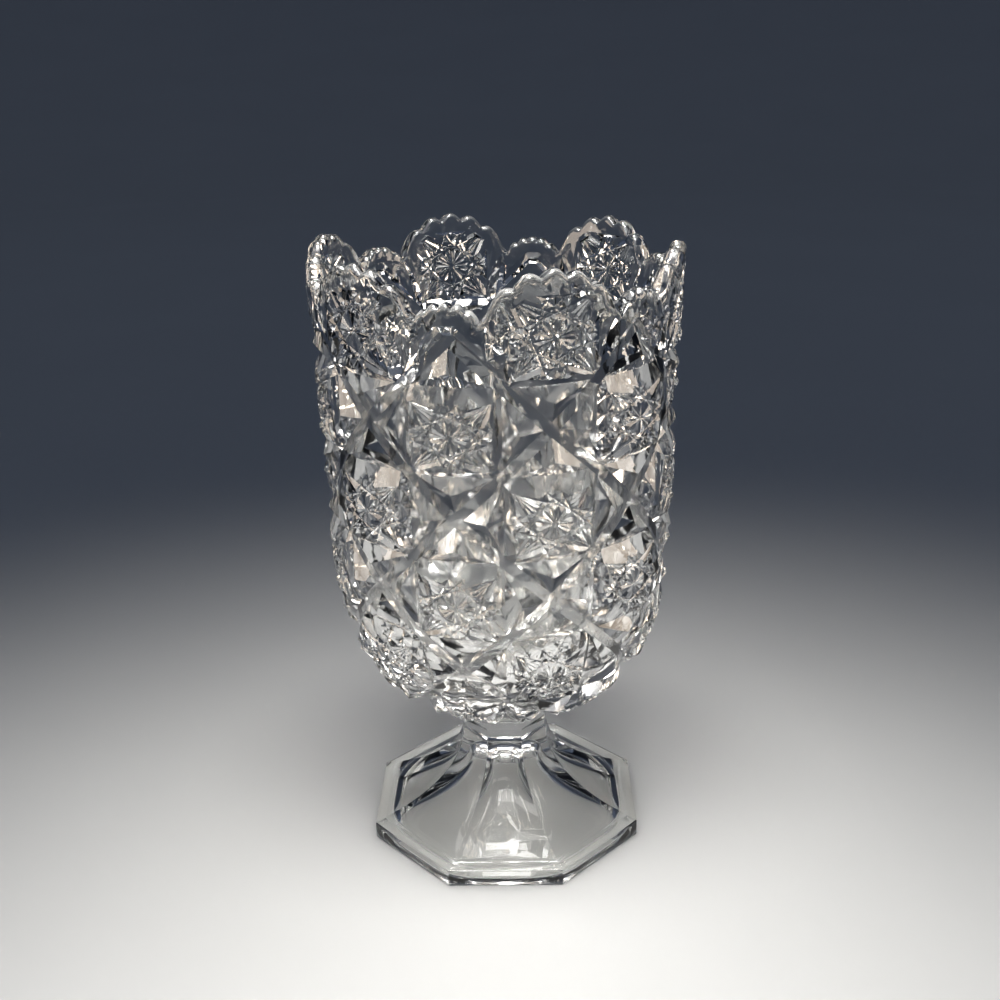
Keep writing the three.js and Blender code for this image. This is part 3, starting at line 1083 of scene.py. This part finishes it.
def worn_glass(clear):
    """The same glass where the foot has been rubbed dull by what it stands on."""
    material = clear.copy()
    material.name = "worn_glass"
    tree = material.node_tree
    rubbing = add_node(tree, "ShaderNodeMapRange", {"To Min": 0.3, "To Max": 0.7})
    tree.links.new(tree.nodes["polish"].outputs["Fac"], rubbing.inputs["Value"])
    tree.links.new(rubbing.outputs["Result"], tree.nodes["Principled BSDF"].inputs["Roughness"])
    return material


def fused_joint():
    """The faces where two pieces of glass have run together, which nobody can see."""
    material = bpy.data.materials.new("fused_joint")
    material.use_nodes = True
    tree = material.node_tree
    tree.nodes.remove(tree.nodes["Principled BSDF"])
    clear = add_node(tree, "ShaderNodeBsdfTransparent")
    tree.links.new(clear.outputs["BSDF"], tree.nodes["Material Output"].inputs["Surface"])
    return material


def floor_material():
    """A pale, matt floor with a barely uneven shade."""
    material = bpy.data.materials.new("pale_floor")
    material.use_nodes = True
    tree = material.node_tree
    shader = tree.nodes["Principled BSDF"]
    shader.inputs["Roughness"].default_value = 0.6
    grain = add_node(tree, "ShaderNodeTexNoise", {"Scale": 30})
    shade = add_ramp(tree, (0.53, 0.53, 0.52), (0.57, 0.57, 0.56))
    tree.links.new(grain.outputs["Fac"], shade.inputs["Fac"])
    tree.links.new(shade.outputs["Color"], shader.inputs["Base Color"])
    return material


# Studio: the floor and the lights are placed in metres, the camera in millimetres

def build_floor():
    """A level, pale floor, which sweeps up far away on every side, a hair of air below the foot."""
    floor_gap = 0.00005
    flat_radius = 1.6
    sweep_radius = 0.8
    wall_height = 1.2
    sides = 96
    sweep_steps = 16
    profile = [(flat_radius + sweep_radius * math.sin(turn), sweep_radius * (1 - math.cos(turn)))
               for turn in np.linspace(0, math.pi / 2, sweep_steps + 1)]
    profile.append((flat_radius + sweep_radius, wall_height))
    turns = np.linspace(0, 2 * math.pi, sides, endpoint=False)
    mesh = bmesh.new()
    rings = [[mesh.verts.new((radius * math.cos(turn), radius * math.sin(turn), height - floor_gap))
              for turn in turns] for radius, height in profile]
    mesh.faces.new(rings[0])
    for low, high in zip(rings, rings[1:]):
        for i in range(sides):
            mesh.faces.new([low[i], low[i - 1], high[i - 1], high[i]]).smooth = True
    data = bpy.data.meshes.new("floor")
    mesh.to_mesh(data)
    mesh.free()
    data.materials.append(floor_material())
    floor = bpy.data.objects.new("floor", data)
    bpy.context.scene.collection.objects.link(floor)


def softbox(name, place, aim, size, spread, power, colour=(1, 1, 1), lit=None):
    """A rectangular light. Lit is the collection that it lights, where that isn't everything."""
    light = bpy.data.lights.new(name, "AREA")
    light.shape = "RECTANGLE"
    light.size, light.size_y = size
    light.spread = math.radians(spread)
    light.energy = power
    light.color = colour
    lamp = bpy.data.objects.new(name, light)
    bpy.context.scene.collection.objects.link(lamp)
    back = Vector(place) - Vector(aim)
    lamp.location = place
    lamp.rotation_mode = "QUATERNION"
    lamp.rotation_quaternion = back.to_track_quat("Z", "Y")
    if lit:
        lamp.light_linking.receiver_collection = lit


def collection_of(name, pieces):
    """A collection of the pieces that a light is linked to."""
    collection = bpy.data.collections.new(name)
    for piece in pieces:
        collection.objects.link(piece)
    return collection


def build_lights(vase, bowl):
    """A gridded softbox for the floor, and wide soft ones that only the vase or its bowl catches."""
    middle = (0, 0, 0.1)
    wide = 160
    softbox("pool_light", place=(0, -0.17, 0.75), aim=(0, -0.17, 0), size=(0.3, 0.3), spread=52,
            power=1, colour=(1, 0.98, 0.95))
    softbox("ceiling_light", place=(-0.05, -0.1, 0.9), aim=middle, size=(0.7, 1.2), spread=wide,
            power=8, colour=(1, 0.97, 0.93), lit=vase)
    softbox("window_light", place=(-0.04, 0.18, 0.85), aim=middle, size=(0.2, 0.14), spread=wide,
            power=9, lit=vase)
    for name, place in (("left_light", (-0.65, -0.25, 0.4)), ("right_light", (0.65, -0.1, 0.4))):
        softbox(name, place, aim=middle, size=(0.35, 0.5), spread=wide, power=3,
                colour=(1, 0.84, 0.68), lit=bowl)


def build_surroundings():
    """Dark, slightly blue surroundings that grow lighter from the horizon upwards."""
    world = bpy.data.worlds.new("studio")
    bpy.context.scene.world = world
    world.use_nodes = True
    tree = world.node_tree
    background = tree.nodes["Background"]
    background.inputs["Strength"].default_value = 0.5
    place = add_node(tree, "ShaderNodeTexCoord")
    part = add_node(tree, "ShaderNodeSeparateXYZ")
    ramp = add_ramp(tree, (0.035, 0.055, 0.13), (0.17, 0.205, 0.275))
    ramp.color_ramp.elements[1].position = 0.9
    tree.links.new(place.outputs["Generated"], part.inputs["Vector"])
    tree.links.new(part.outputs["Z"], ramp.inputs["Fac"])
    tree.links.new(ramp.outputs["Color"], background.inputs["Color"])


def build_camera():
    """A camera in front of the vase, which looks down on it from above the rim."""
    place = (6.05, -325.2, 229.2)
    pitch = 21.14
    yaw = 1.07
    roll = 1.25
    data = bpy.data.cameras.new("camera")
    data.sensor_width = 36
    data.lens = 43.78
    data.clip_start = 0.01
    camera = bpy.data.objects.new("camera", data)
    bpy.context.scene.collection.objects.link(camera)
    aim = (Matrix.Rotation(math.radians(yaw), 4, "Z")
           @ Matrix.Rotation(math.radians(90 - pitch), 4, "X")
           @ Matrix.Rotation(math.radians(-roll), 4, "Z"))
    camera.matrix_world = Matrix.Translation([value * MM for value in place]) @ aim
    bpy.context.scene.camera = camera


build_camera()
build_floor()
outside = clear_glass()
joint = fused_joint()
pieces = [
    build_foot([outside, joint, worn_glass(outside)]),
    build_stem([outside, joint]),
    build_bowl([outside, joint, water_marked_glass(outside)]),
]
for piece, node in zip(pieces, ("foot", "stem", "bowl")):
    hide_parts(node)
build_lights(collection_of("vase", pieces), collection_of("upper", pieces[-1:]))
build_surroundings()

bpy.context.scene.view_settings.view_transform = "Standard"

# Light crosses many walls of glass before it is lost
glass_bounces = 24
bpy.context.scene.cycles.max_bounces = glass_bounces
bpy.context.scene.cycles.transmission_bounces = glass_bounces
